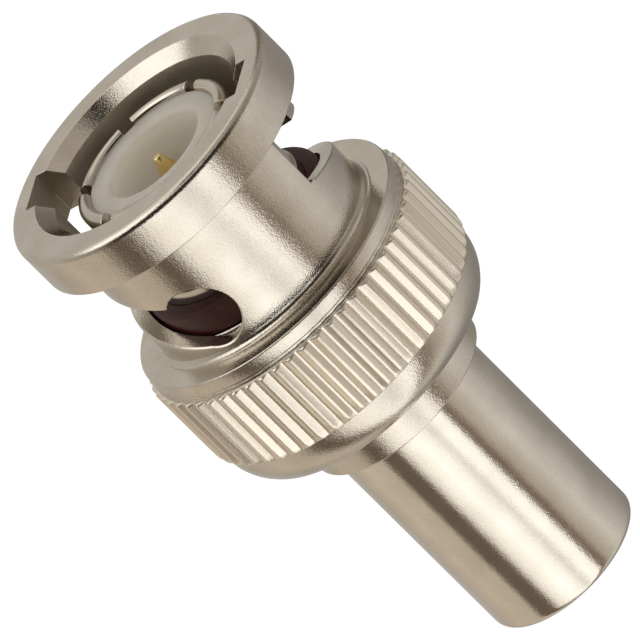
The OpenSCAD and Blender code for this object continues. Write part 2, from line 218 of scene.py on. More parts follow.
def turningTree(name, cutterNames):
    tree = bpy.data.node_groups.new(name, "GeometryNodeTree")
    kinds = {
        "Slice": "Geometry", "Slice Count": "Int", "Cut Count": "Int", "Weld Distance": "Float",
        "Finish": "Material", **{cutter: "Object" for cutter in cutterNames},
    }
    sockets = {
        key: tree.interface.new_socket(key, in_out="INPUT", socket_type="NodeSocket" + kind)
        for key, kind in kinds.items()
    }
    tree.interface.new_socket("Geometry", in_out="OUTPUT", socket_type="NodeSocketGeometry")
    source = addNode(tree, "NodeGroupInput")
    index = addNode(tree, "GeometryNodeInputIndex")

    def copiesRound(geometry, countSocket):
        step = addNode(
            tree, "ShaderNodeMath", {"operation": "DIVIDE", 0: math.tau}, {1: countSocket}
        )
        angle = addNode(
            tree, "ShaderNodeMath", {"operation": "MULTIPLY"},
            {0: index.outputs[0], 1: step.outputs[0]},
        )
        turn = addNode(tree, "ShaderNodeCombineXYZ", None, {"Z": angle.outputs[0]})
        points = addNode(
            tree, "GeometryNodeMeshLine", {"Offset": (0, 0, 0)}, {"Count": countSocket}
        )
        copies = addNode(
            tree, "GeometryNodeInstanceOnPoints", None,
            {"Points": points.outputs[0], "Instance": geometry, "Rotation": turn.outputs[0]},
        )
        return addNode(tree, "GeometryNodeRealizeInstances", None, {0: copies.outputs[0]})

    ring = copiesRound(source.outputs["Slice"], source.outputs["Slice Count"])
    shape = addNode(
        tree, "GeometryNodeMergeByDistance", None,
        {"Geometry": ring.outputs[0], "Distance": source.outputs["Weld Distance"]},
    )
    last = shape.outputs[0]
    if cutterNames:
        cut = addNode(
            tree, "GeometryNodeMeshBoolean", {"operation": "DIFFERENCE", "solver": "EXACT"},
            {"Mesh 1": last},
        )
        for cutter in cutterNames:
            info = addNode(
                tree, "GeometryNodeObjectInfo", None, {"Object": source.outputs[cutter]}
            )
            copies = copiesRound(info.outputs["Geometry"], source.outputs["Cut Count"])
            tree.links.new(copies.outputs[0], cut.inputs["Mesh 2"])
        mark = addNode(
            tree, "GeometryNodeStoreNamedAttribute",
            {"data_type": "FLOAT", "domain": "EDGE", "Name": "bevel_weight_edge", "Value": 1.0},
            {"Geometry": cut.outputs["Mesh"], "Selection": cut.outputs["Intersecting Edges"]},
        )
        last = mark.outputs[0]
    plain = addNode(tree, "GeometryNodeRealizeInstances", None, {0: last})
    dressed = addNode(
        tree, "GeometryNodeSetMaterial", None,
        {"Geometry": plain.outputs[0], "Material": source.outputs["Finish"]},
    )
    addNode(tree, "NodeGroupOutput", None, {0: dressed.outputs[0]})
    return tree, {key: socket.identifier for key, socket in sockets.items()}


weldMm = 0.0004                              # far under the shortest edge of any slice
sharpDeg = 34                                # arcs shade smooth, corners stay crisp


def turnedPiece(name, wedge, copies, finish, cutters=None, cutCount=1, edge=0):
    # a whole turned piece from one slice; cutters is {name: mesh}, edge the bevel on what they cut
    cutters = cutters or {}
    tree, ids = turningTree(name + "Turning", list(cutters))
    obj = newObject(name, wedge)
    modifier = obj.modifiers.new("turning", "NODES")
    modifier.node_group = tree
    modifier[ids["Slice Count"]] = copies
    modifier[ids["Cut Count"]] = cutCount
    modifier[ids["Weld Distance"]] = weldMm * mm
    modifier[ids["Finish"]] = finish
    helpers = {key: newObject(name + key.replace(" ", ""), mesh) for key, mesh in cutters.items()}
    for key, helper in helpers.items():
        modifier[ids[key]] = helper
    plainMesh(obj)
    for helper in helpers.values():
        bpy.data.objects.remove(helper)
    if edge > 0:
        bevel = obj.modifiers.new("edges", "BEVEL")
        bevel.limit_method = "WEIGHT"
        bevel.width = edge * mm
        bevel.segments = 2
        bevel.use_clamp_overlap = False
        plainMesh(obj)
    obj.data.shade_smooth()
    obj.data.set_sharp_from_angle(angle=math.radians(sharpDeg))
    return obj


def plainPiece(name, corners, copies, finish, steps=4, columns=8, **cuts):
    # a turned piece without ridges; steps is for the arcs in its outline, columns for its slice
    even = [(k / columns, 0) for k in range(columns + 1)]
    wedge = wedgeMesh(name + "Slice", rounded(corners, steps), even, math.tau / copies)
    return turnedPiece(name, wedge, copies, finish, **cuts)


def place(obj, body, node):
    # hands the piece over in its solid's place and prints how far its box is off the solid's
    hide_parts(node)
    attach(obj, body)
    low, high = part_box(node)
    own = [v.co for v in obj.data.vertices]
    off = max(
        max(abs(min(c[k] for c in own) - low[k]), abs(max(c[k] for c in own) - high[k]))
        for k in range(3)
    ) / mm
    print(obj.name, len(obj.data.polygons), "faces, off its solid's box by", round(off, 3), "mm")


# Materials


def newMaterial(name):
    material = bpy.data.materials.new(name)
    material.use_nodes = True
    tree = material.node_tree
    spot = addNode(tree, "ShaderNodeTexCoord").outputs["Object"]
    return material, tree, tree.nodes["Principled BSDF"], spot


def noiseAt(tree, spot, sizeMm, detail=2.0, rough=0.5, stretch=None):
    # features of sizeMm; stretch scales the spot first, and a small scale draws them out that way
    if stretch:
        spot = addNode(tree, "ShaderNodeMapping", {"Scale": stretch}, {"Vector": spot}).outputs[0]
    return addNode(
        tree, "ShaderNodeTexNoise",
        {"Scale": 1 / (sizeMm * mm), "Detail": detail, "Roughness": rough}, {"Vector": spot},
    ).outputs["Fac"]


def latheLines(tree, spot, sizeMm, along):
    return noiseAt(tree, spot, sizeMm, 1.0, 0.5, (along, along, 1.0))


def twoTones(tree, value, tones, end=0.7):
    return rampOf(tree, value, [(0.3, tones[0]), (end, tones[1])])


def spread(tree, value, low, high):
    return addNode(
        tree, "ShaderNodeMapRange", {"To Min": low, "To Max": high}, {"Value": value}
    ).outputs["Result"]


def bumpFrom(tree, height, depthMm, below=None):
    links = {"Height": height}
    if below:
        links["Normal"] = below
    return addNode(
        tree, "ShaderNodeBump", {"Strength": 1.0, "Distance": depthMm * mm}, links
    ).outputs["Normal"]


# Where the nut's plate differs: the rolled knurl outside a radius in mm, and the bore, where the
# surface faces the axis (-1 is straight at it), are duller
nutWear = {
    "knurlFrom": 7.01, "knurlFull": 7.04, "knurlRough": 0.24, "knurlTone": "#efe5d4",
    "boreFrom": -0.8, "boreFull": -0.95, "boreRough": 0.4,
}


def wornPlaces(tree, spot, wear, tone, rough):
    flat = addNode(
        tree, "ShaderNodeVectorMath", {"operation": "MULTIPLY", 1: (1, 1, 0)}, {0: spot}
    ).outputs["Vector"]
    radius = addNode(tree, "ShaderNodeVectorMath", {"operation": "LENGTH"}, {0: flat})
    onKnurl = stepOf(
        tree, radius.outputs["Value"], wear["knurlFrom"] * mm, wear["knurlFull"] * mm
    )
    knurlRough = addNode(
        tree, "ShaderNodeMath", {"operation": "MULTIPLY_ADD", 1: wear["knurlRough"]},
        {0: onKnurl, 2: rough},
    )
    facing = addNode(
        tree, "ShaderNodeVectorTransform",
        {"vector_type": "NORMAL", "convert_from": "WORLD", "convert_to": "OBJECT"},
        {0: addNode(tree, "ShaderNodeNewGeometry").outputs["True Normal"]},
    )
    outward = addNode(tree, "ShaderNodeVectorMath", {"operation": "NORMALIZE"}, {0: flat})
    away = addNode(
        tree, "ShaderNodeVectorMath", {"operation": "DOT_PRODUCT"},
        {0: facing.outputs[0], 1: outward.outputs["Vector"]},
    )
    inBore = stepOf(
        tree, away.outputs["Value"], wear["boreFrom"], wear["boreFull"], wear["boreRough"]
    )
    allRough = addNode(
        tree, "ShaderNodeMath", {"operation": "ADD"}, {0: knurlRough.outputs["Value"], 1: inBore}
    )
    return mixOf(tree, onKnurl, tone, wear["knurlTone"]), allRough.outputs["Value"]


# Satin nickel plate on turned brass: warm silver, with tumbled dimples that break up the edges of the
# bands it mirrors, a fine grain that sparkles there, and faint lathe lines
def nickelPlate(name, finish, wear=None):
    material, tree, shader, spot = newMaterial(name)
    shader.inputs["Metallic"].default_value = 1.0
    cloudy = noiseAt(tree, spot, finish["cloudMm"], 3.0)
    grain = noiseAt(tree, spot, finish["grainMm"], 2.0, 0.6)
    speckle = rampOf(tree, grain, [(0.36, finish["speckle"]), (0.64, "#ffffff")])
    tone = mixOf(tree, 1.0, twoTones(tree, cloudy, finish["tones"]), speckle, "MULTIPLY")
    rough = spread(tree, grain, *finish["rough"])
    if wear:
        tone, rough = wornPlaces(tree, spot, wear, tone, rough)
    tree.links.new(tone, shader.inputs["Base Color"])
    tree.links.new(rough, shader.inputs["Roughness"])
    normal = None
    if finish["edgeMm"] > 0:
        normal = addNode(
            tree, "ShaderNodeBevel", {"samples": 4, "Radius": finish["edgeMm"] * mm}
        ).outputs["Normal"]
    dimples = noiseAt(tree, spot, finish["dimpleMm"])
    lines = latheLines(tree, spot, finish["lineMm"], 0.02)
    normal = bumpFrom(tree, dimples, finish["dimpleDeepMm"], normal)
    normal = bumpFrom(tree, grain, finish["grainDeepMm"], normal)
    normal = bumpFrom(tree, lines, finish["lineDeepMm"], normal)
    tree.links.new(normal, shader.inputs["Normal"])
    return material


nickelNut = nickelPlate("satinNickelOnBrass", {
    "tones": ("#cfc6b7", "#ddd5c7"), "speckle": "#f3f3f3", "cloudMm": 1.8, "rough": (0.06, 0.13),
    "grainMm": 0.07, "grainDeepMm": 0.0085, "dimpleMm": 0.2, "dimpleDeepMm": 0.0035,
    "lineMm": 0.16, "lineDeepMm": 0.0006, "edgeMm": 0.05,
}, nutWear)
nickelBarrel = nickelPlate("satinNickelOnDrawnBarrel", {
    "tones": ("#d8d0c2", "#e5ddcf"), "speckle": "#f5f5f5", "cloudMm": 1.8, "rough": (0.08, 0.14),
    "grainMm": 0.07, "grainDeepMm": 0.0038, "dimpleMm": 0.24, "dimpleDeepMm": 0.003,
    "lineMm": 0.3, "lineDeepMm": 0.0006, "edgeMm": 0,
})
nickelContact = nickelPlate("brightNickelOnBronze", {
    "tones": ("#cdc4b5", "#d9d1c4"), "speckle": "#fafafa", "cloudMm": 1.2, "rough": (0.1, 0.18),
    "grainMm": 0.05, "grainDeepMm": 0.0008, "dimpleMm": 0.3, "dimpleDeepMm": 0.001,
    "lineMm": 0.1, "lineDeepMm": 0.0008, "edgeMm": 0,
})


# Gold plate on a turned pin: warm yellow metal, nearly mirror smooth
def goldPlate():
    material, tree, shader, spot = newMaterial("goldPlateOnPin")
    haze = noiseAt(tree, spot, 0.5)
    tree.links.new(twoTones(tree, haze, ("#dfc07a", "#ecd79a")), shader.inputs["Base Color"])
    shader.inputs["Metallic"].default_value = 1.0
    shader.inputs["Roughness"].default_value = 0.12
    lines = latheLines(tree, spot, 0.05, 0.03)
    tree.links.new(bumpFrom(tree, lines, 0.0004), shader.inputs["Normal"])
    return material


# Turned fluoropolymer: milky white with a waxy sheen, light sinks in a little; down in the cup it is
# painted whiter, painted light that lifts the shade falling in the deep cup
def waxyPlastic():
    rimDepth = 1.14
    cupDepth = 1.5
    material, tree, shader, spot = newMaterial("turnedFluoropolymer")
    handled = twoTones(tree, noiseAt(tree, spot, 1.2), ("#c3b9a8", "#cdc4b5"))
    height = addNode(tree, "ShaderNodeSeparateXYZ", None, {0: spot}).outputs["Z"]
    # painted light: from the rim's depth down to the cup's, the colour goes whiter to lift the shade
    # in the cup
    paintedCupLight = stepOf(tree, height, (faceZ - rimDepth) * mm, (faceZ - cupDepth) * mm)
    tree.links.new(mixOf(tree, paintedCupLight, handled, "#e6ddcd"), shader.inputs["Base Color"])
    shader.inputs["Roughness"].default_value = 0.42
    shader.inputs["IOR"].default_value = 1.38
    shader.inputs["Subsurface Weight"].default_value = 0.7
    shader.inputs["Subsurface Radius"].default_value = (1.0, 0.9, 0.8)
    shader.inputs["Subsurface Scale"].default_value = 2.5 * mm
    lines = latheLines(tree, spot, 0.12, 0.03)
    tree.links.new(bumpFrom(tree, lines, 0.001), shader.inputs["Normal"])
    return material


# Moulded silicone: soft red-brown, dull, with a faint bloom
def mouldedSilicone():
    material, tree, shader, spot = newMaterial("mouldedSilicone")
    bloom = noiseAt(tree, spot, 0.4, 3.0)
    tone = twoTones(tree, bloom, ("#2c0a07", "#45120d"), 0.75)
    tree.links.new(tone, shader.inputs["Base Color"])
    tree.links.new(spread(tree, bloom, 0.42, 0.6), shader.inputs["Roughness"])
    shader.inputs["IOR"].default_value = 1.41
    tree.links.new(bumpFrom(tree, noiseAt(tree, spot, 0.06), 0.0015), shader.inputs["Normal"])
    return material


# Plain metals of the hidden pieces
def workedMetal(name, tones, rough, grainMm, depthMm):
    material, tree, shader, spot = newMaterial(name)
    grain = noiseAt(tree, spot, grainMm, 3.0)
    tree.links.new(twoTones(tree, grain, tones), shader.inputs["Base Color"])
    shader.inputs["Metallic"].default_value = 1.0
    tree.links.new(spread(tree, grain, rough * 0.8, rough * 1.25), shader.inputs["Roughness"])
    tree.links.new(bumpFrom(tree, grain, depthMm), shader.inputs["Normal"])
    return material


# Baked enamel on a ceramic rod: grey-green, glossy, slightly uneven
def bakedEnamel():
    material, tree, shader, spot = newMaterial("bakedEnamel")
    cloudy = noiseAt(tree, spot, 0.7, 3.0)
    tree.links.new(twoTones(tree, cloudy, ("#6f9196", "#86a9ad")), shader.inputs["Base Color"])
    shader.inputs["Roughness"].default_value = 0.3
    shader.inputs["Coat Weight"].default_value = 0.4
    tree.links.new(bumpFrom(tree, cloudy, 0.01), shader.inputs["Normal"])
    return material


gold = goldPlate()
ptfe = waxyPlastic()
silicone = mouldedSilicone()
# rolled steel is a cool grey, tin is soft and bright, and solder freezes with a wavy skin
springSteel = workedMetal("blankedSpringSteel", ("#98948c", "#b0aca4"), 0.26, 0.1, 0.001)
tinnedWire = workedMetal("tinnedWire", ("#bdbbb4", "#cfcdc7"), 0.3, 0.08, 0.0015)
softSolder = workedMetal("softSolder", ("#a9a8a4", "#c2c1bd"), 0.22, 0.3, 0.004)
enamel = bakedEnamel()
print("materials made")

# Coupling nut: one slice for each ridge, then two bayonet tracks cut out
nut = {
    "flangeR": 6.98, "flangeLen": 2.24, "flangeEdge": 0.33, "flangeRearEdge": 0.07,
    "mouthR": 5.58, "mouthDepth": 0.58, "mouthEdge": 0.04,
    "sleeveR": 5.65, "sleeveFillet": 0.1, "rootFillet": 0.28, "stepR": 5.95, "stepLen": 0.06,
    "shoulder": 8.39, "shoulderR": 6.94, "shoulderEdge": 0.07,
    "bandR": 7.0, "knurlFront": 9.25, "knurlRear": 13.35, "grooveR": 7.03,
    "ridges": 58, "ridgeHigh": 0.22, "ridgeRound": 0.12, "ridgeRunOut": 0.4,
    "tailStart": 13.6, "rear": 15.1, "tailDrop": 0.63, "tailSteps": 10,
    # a point of the tail, back and down from its start: it gives the slope that the rear edge
    # is rounded from, and the arc takes its place
    "tailLead": (0.85, 0.21),
    "boreR": 4.95, "cavityFront": 8.95, "cavityR": 6.1, "cavityRear": 14.2, "cavityFillet": 0.1,
    "lipR": 4.64, "edge": 0.05,
    # fine turned marks in front of the knurl: distance from it, depth
    "toolMarks": [(0.3, 0), (0.27, 0.014), (0.24, 0), (0.15, 0), (0.12, 0.02), (0.09, 0)],
}
# Across one ridge: share of the pitch, share of the ridge's height
ridgeShape = [
    (0.0, 0.0), (0.06, 0.0), (0.09, 0.05), (0.37, 0.9), (0.4, 0.98), (0.43, 1.0), (0.5, 1.0),
]
ridgeColumns = ridgeShape + [(1 - at, high) for at, high in reversed(ridgeShape[:-1])]


def nutCorners(n):
    back, down = n["tailLead"]
    return [
        (n["mouthR"], 0, n["mouthEdge"]),
        (n["flangeR"], 0, n["flangeEdge"]),
        (n["flangeR"], n["flangeLen"], n["flangeRearEdge"]),
        (n["sleeveR"], n["flangeLen"], n["sleeveFillet"]),
        (n["sleeveR"], n["shoulder"] - n["stepLen"], n["rootFillet"]),
        (n["stepR"], n["shoulder"] - n["stepLen"], 0),
        (n["stepR"], n["shoulder"], 0),
        (n["shoulderR"], n["shoulder"], n["shoulderEdge"]),
        *[(n["bandR"] - deep, n["knurlFront"] - ahead, 0) for ahead, deep in n["toolMarks"]],
        (n["bandR"], n["knurlFront"], 0),
        (n["bandR"], n["knurlRear"], 0),
        (n["bandR"], n["tailStart"], 0),
        (n["bandR"] - down, n["tailStart"] + back, 0),
        (n["bandR"] - n["tailDrop"], n["rear"], n["edge"]),
        (n["lipR"], n["rear"], n["edge"]),
        (n["lipR"], n["cavityRear"], n["edge"]),
        (n["cavityR"], n["cavityRear"], n["cavityFillet"]),
        (n["cavityR"], n["cavityFront"], n["cavityFillet"]),
        (n["boreR"], n["cavityFront"], n["edge"]),
        (n["boreR"], n["mouthDepth"], n["mouthEdge"]),
    ]


def knurlOutline(n):
    # the ridges start with a rounded edge, drawn in steps of 30 degrees, and run out at the rear in
    # a quarter of an ellipse, in steps of 22.5
    high = n["ridgeHigh"]
    edge = n["ridgeRound"]
    out = [(n["grooveR"], n["knurlFront"], 0), (n["grooveR"], n["knurlFront"], high - edge)]
    for turn in (math.radians(30 * k) for k in range(1, 4)):
        depth = n["knurlFront"] + edge * (1 - math.cos(turn))
        out.append((n["grooveR"], depth, high - edge + edge * math.sin(turn)))
    for turn in (math.radians(22.5 * k) for k in range(5)):
        depth = n["knurlRear"] - n["ridgeRunOut"] * (1 - math.sin(turn))
        out.append((n["grooveR"], depth, high * math.cos(turn)))
    return out


def tailOutline(n):
    # an arc that leaves the band without a corner and reaches the rear edge
    length = n["rear"] - n["tailStart"]
    radius = (n["tailDrop"] ** 2 + length ** 2) / (2 * n["tailDrop"])
    whole = math.asin(length / radius)
    turns = [whole * k / n["tailSteps"] for k in range(1, n["tailSteps"])]
    return [
        (n["bandR"] - radius * (1 - math.cos(turn)), n["tailStart"] + radius * math.sin(turn), 0)
        for turn in turns
    ]


def nutOutline(n):
    plain = rounded(nutCorners(n))
    at = plain.index((n["bandR"], n["knurlFront"], 0)) + 1
    return plain[:at] + knurlOutline(n) + plain[at:at + 2] + tailOutline(n) + plain[at + 3:]


# Bayonet track: entry channel, helical ramp and round pocket. The cutters reach over past the
# sleeve's surface, and start ahead of the mating face; firstTurn laps the ramp with the entry
track = {
    "count": 2, "entryW": 2.3, "entryFloor": 6.0, "ahead": 1, "start": 4.57, "rise": 2.1,
    "turn": 88, "firstTurn": 3, "width": 2.35, "pocketR": 1.62, "pocketBack": 0.4,
    "inR": 4.3, "outR": 6.35, "edge": 0.07, "over": 0.03, "rampSteps": 60, "pocketSteps": 72,
}


def trackCutters(t, sleeveR):
    # flare is (radius, widening of the cut there): a small chamfer breaks the cut's outer edge
    wide = t["edge"] + t["over"]
    flare = [(t["inR"], 0), (sleeveR - t["edge"], 0), (sleeveR + t["over"], wide), (t["outR"], wide)]
    slope = math.atan(t["rise"] / (sleeveR * math.radians(t["turn"])))
    half = t["width"] / math.cos(slope) / 2
    entryTurn = math.degrees(math.asin(t["entryW"] / 2 / sleeveR))
    entryEnd = t["start"] + half - t["rise"] * entryTurn / t["turn"]
    entry = boxMesh(
        "entry", (0, -t["entryW"] / 2, faceZ - entryEnd),
        (t["entryFloor"], t["entryW"] / 2, faceZ + t["ahead"]),
    )
    section = [(r, -1, w) for r, w in flare] + [(r, 1, w) for r, w in reversed(flare)]
    first = t["firstTurn"] - entryTurn
    rampRings = []
    for i in range(t["rampSteps"] + 1):
        turn = first + (t["turn"] - first) * i / t["rampSteps"]
        depth = t["start"] + t["rise"] * turn / t["turn"]
        rampRings.append([
            onRing(r, math.radians(turn), faceZ - depth + side * (half + w))
            for r, side, w in section
        ])
    depth = t["start"] + t["rise"] - t["pocketBack"]
    turns = [math.tau * i / t["pocketSteps"] for i in range(t["pocketSteps"])]
    pocketRings = []
    for r, w in flare:
        size = t["pocketR"] + w
        pocketRings.append([
            onRing(
                r, math.radians(t["turn"]) + math.asin(size * math.cos(turn) / r),
                faceZ - depth + size * math.sin(turn),
            )
            for turn in turns
        ])
    return {
        "Entry Cutter": entry, "Ramp Cutter": cutterMesh("ramp", rampRings),
        "Pocket Cutter": cutterMesh("pocket", pocketRings),
    }


nutSlice = wedgeMesh("couplingNutSlice", nutOutline(nut), ridgeColumns, math.tau / nut["ridges"])
couplingNut = turnedPiece(
    "couplingNut", nutSlice, nut["ridges"], nickelNut,
    trackCutters(track, nut["sleeveR"]), track["count"],
)
place(couplingNut, "nut", "coupling_nut")

# Turned body
plug = {
    "hubR": 4.88, "hubFront": 7.75, "hubEdge": 0.1, "flangeFront": 8.98, "flangeR": 6.02,
    "flangeRear": 10.58, "shaftR": 4.54, "collarRear": 17.1, "collarEdge": 0.09, "edge": 0.05,
    "spigotR": 3.48, "spigotRear": 19.6, "spigotBoreR": 2.9, "webRear": 13.4, "webHoleR": 2.3,
    "insulatorR": 2.9, "insulatorFront": 9.9, "insulatorRear": 12.6,
    "contactBoreR": 3.45, "contactRear": 9.4, "contactR": 4.1,
}


def plugCorners(p):
    edge = p["edge"]
    return [
        (p["contactR"], p["hubFront"], 0), (p["hubR"], p["hubFront"], p["hubEdge"]),
        (p["hubR"], p["flangeFront"], 0), (p["flangeR"], p["flangeFront"], edge),
        (p["flangeR"], p["flangeRear"], edge), (p["shaftR"], p["flangeRear"], edge),
        (p["shaftR"], p["collarRear"], p["collarEdge"]), (p["spigotR"], p["collarRear"], 0),
        (p["spigotR"], p["spigotRear"], edge), (p["spigotBoreR"], p["spigotRear"], edge),
        (p["spigotBoreR"], p["webRear"], 0), (p["webHoleR"], p["webRear"], edge),
        (p["webHoleR"], p["insulatorRear"], 0), (p["insulatorR"], p["insulatorRear"], 0),
        (p["insulatorR"], p["insulatorFront"], 0), (p["contactBoreR"], p["insulatorFront"], 0),
        (p["contactBoreR"], p["contactRear"], 0), (p["contactR"], p["contactRear"], 0),
    ]


plugBody = plainPiece("plugBody", plugCorners(plug), 32, nickelNut)
place(plugBody, "plug", "plug_body")

# Closed barrel; its end is what the part stands on
barrel = {
    "r": 3.88, "front": 17.1, "end": faceZ, "wall": 0.4, "endWall": 0.7,
    "frontEdge": 0.03, "endEdge": 0.35,
}


def barrelCorners(b):
    inside = b["r"] - b["wall"]
    floor = b["end"] - b["endWall"]
    return [
        (inside, b["front"], 0), (b["r"], b["front"], b["frontEdge"]),
        (b["r"], b["end"], b["endEdge"]), (0, b["end"], 0), (0, floor, 0), (inside, floor, 0),
    ]


rearBarrel = plainPiece("rearBarrel", barrelCorners(barrel), 32, nickelBarrel, steps=8)
place(rearBarrel, "plug", "rear_barrel")

# Spring contact with six saw cuts
contact = {
    "r": 4.1, "boreR": 3.45, "front": 0.88, "tipRear": 1.83, "relief": 0.15, "edge": 0.08,
    "tipEdge": 0.34, "tipInside": 0.26, "rootFront": 5.7, "rear": 9.4,
    "slots": 6, "slotRear": 5.28, "slotW": 0.64, "firstSlotDeg": 6, "slotEdge": 0.03,
}


def contactCorners(c):
    fingerR = c["r"] - c["relief"]
    edge = c["edge"]
    return [
        (c["boreR"], c["front"], c["tipInside"]), (c["r"], c["front"], c["tipEdge"]),
        (c["r"], c["tipRear"], edge), (fingerR, c["tipRear"] + c["relief"], edge),
        (fingerR, c["rootFront"] - c["relief"], edge), (c["r"], c["rootFront"], edge),
        (c["r"], c["rear"], 0), (c["boreR"], c["rear"], 0),
    ]


def slotCutter(c):
    # a box through one wall, from half the bore's radius to well outside
    mesh = boxMesh(
        "slot", (c["boreR"] / 2, -c["slotW"] / 2, faceZ - c["slotRear"]),
        (c["boreR"] * 1.5, c["slotW"] / 2, faceZ),
    )
    mesh.transform(Matrix.Rotation(math.radians(c["firstSlotDeg"]), 4, "Z"))
    return mesh


outerContact = plainPiece(
    "outerContact", contactCorners(contact), 30, nickelContact,
    cutters={"Slot Cutter": slotCutter(contact)}, cutCount=contact["slots"],
    edge=contact["slotEdge"],
)
place(outerContact, "plug", "outer_contact")

# Gasket, front insulator and pin
gasket = {
    "inR": 4.1, "outR": 4.8, "front": 6.3, "rear": 7.75, "inEdge": 0.05, "outEdge": 0.2,
}
gasketCorners = [
    (gasket["inR"], gasket["front"], gasket["inEdge"]),
    (gasket["outR"], gasket["front"], gasket["outEdge"]),
    (gasket["outR"], gasket["rear"], gasket["outEdge"]),
    (gasket["inR"], gasket["rear"], gasket["inEdge"]),
]
gasketRing = plainPiece("gasketRing", gasketCorners, 24, silicone)
place(gasketRing, "plug", "gasket")

insulator = {
    "cupR": 2.42, "r": 3.45, "holeR": 0.85, "front": 1.12, "cupFloor": 6.32, "rear": 9.9,
    "lipEdge": 0.22, "edge": 0.07, "floorEdge": 0.15,
}


def insulatorCorners(n):
    return [
        (n["cupR"], n["front"], n["lipEdge"]), (n["r"], n["front"], n["edge"]),
        (n["r"], n["rear"], 0), (n["holeR"], n["rear"], 0), (n["holeR"], n["cupFloor"], 0),
        (n["cupR"], n["cupFloor"], n["floorEdge"]),
    ]


frontInsulator = plainPiece("frontInsulator", insulatorCorners(insulator), 24, ptfe, steps=6)
place(frontInsulator, "plug", "front_insulator")

pin = {
    "tip": 1.38, "tipR": 0.2, "tipEdge": 0.08, "coneRear": 2.88, "coneEdge": 0.5, "r": 0.675,
    "shankFront": 6.32, "shankR": 0.85, "collarFront": 9.9, "collarRear": 10.6, "collarR": 1.1,
    "cupR": 0.75, "cupInR": 0.35, "cupRear": 14.2, "cupFloor": 12.6, "cupEdge": 0.03,
    "cupInEdge": 0.02,
}


def pinCorners(p):
    return [
        (0, p["tip"], 0), (p["tipR"], p["tip"], p["tipEdge"]), (p["r"], p["coneRear"], p["coneEdge"]),
        (p["r"], p["shankFront"], 0), (p["shankR"], p["shankFront"], 0),
        (p["shankR"], p["collarFront"], 0), (p["collarR"], p["collarFront"], 0),
        (p["collarR"], p["collarRear"], 0), (p["cupR"], p["collarRear"], 0),
        (p["cupR"], p["cupRear"], p["cupEdge"]), (p["cupInR"], p["cupRear"], p["cupInEdge"]),
        (p["cupInR"], p["cupFloor"], 0), (0, p["cupFloor"], 0),
    ]


centreContact = plainPiece("centreContact", pinCorners(pin), 24, gold, steps=6, columns=4)
place(centreContact, "plug", "centre_contact")

# Wave washers: one wave is a slice, and three waves make the ring
wave = {
    "inR": 4.62, "outR": 6.02, "thick": 0.22, "high": 1.295, "waves": 3, "columns": 32,
    "travel": 0.4,
}
# piece, node, body it rides, depth of its front
waveWashers = [
    ("waveWasherFront", "wave_washer_front", "plug", 10.94),
    ("waveWasherRear", "wave_washer_rear", "spacer", 12.545),
]


def waveSlice(name, w, front):
    swing = (w["high"] - w["thick"]) / 2
    section = [(w["inR"], -0.5), (w["outR"], -0.5), (w["outR"], 0.5), (w["inR"], 0.5)]
    columns = []
    for i in range(w["columns"] + 1):
        share = i / w["columns"]
        depth = front + w["high"] / 2 + swing * math.cos(math.tau * share)
        columns.append([
            onRing(r, math.tau * share / w["waves"], faceZ - depth - side * w["thick"])
            for r, side in section
        ])
    return stripMesh(name + "Slice", columns)


for name, node, body, front in waveWashers:
    washer = turnedPiece(name, waveSlice(name, wave, front), wave["waves"], springSteel)
    place(washer, body, node)
    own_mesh(washer)
print("turned pieces made")

# The hidden nodes keep their solids and get their finish
nodeFinish = {
    "rear_insulator": ptfe, "thrust_washer_front": springSteel, "spacer_washer": springSteel,
    "thrust_washer_rear": springSteel, "resistor_body": enamel, "resistor_cap_front": tinnedWire,
    "resistor_cap_rear": tinnedWire, "resistor_lead_front": tinnedWire,
    "resistor_lead_rear": tinnedWire, "solder_front": softSolder, "solder_rear": softSolder,
    "ground_disc": nickelBarrel,
}
for name, material in nodeFinish.items():
    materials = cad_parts[name].data.materials
    materials.clear()
    materials.append(material)

# Stage: the photograph's camera, a world of soft panels, a pale floor and two soft lamps
view = {
    "towardsDeg": 306, "upDeg": 24.229, "rollDeg": 45.239, "awayMm": 699.198, "acrossMm": 7.822,
    "downMm": 7.812, "lens": 930.9,
}


def makeCamera(v):
    a = math.radians(v["towardsDeg"])
    e = math.radians(v["upDeg"])
    roll = math.radians(v["rollDeg"])
    near = Vector((math.cos(a), math.sin(a), 0))
    right = Vector((-math.sin(a), math.cos(a), 0))
    back = near * math.cos(e) + Vector((0, 0, 1)) * math.sin(e)
    up = Vector((0, 0, 1)) * math.cos(e) - near * math.sin(e)
    across = right * math.cos(roll) - up * math.sin(roll)
    upwards = right * math.sin(roll) + up * math.cos(roll)
    data = bpy.data.cameras.new("camera")
    data.sensor_width = 36
    data.lens = v["lens"]
    data.clip_start = 0.05                   # metres
    data.clip_end = 20
    camera = newObject("camera", data)
    sideways = across * v["acrossMm"] - upwards * v["downMm"]
    spot = Vector((0, 0, faceZ)) + sideways + back * v["awayMm"]
    turn = Matrix((across, upwards, back)).transposed().to_4x4()
    camera.matrix_world = Matrix.Translation(spot * mm) @ turn
    bpy.context.scene.camera = camera


makeCamera(view)

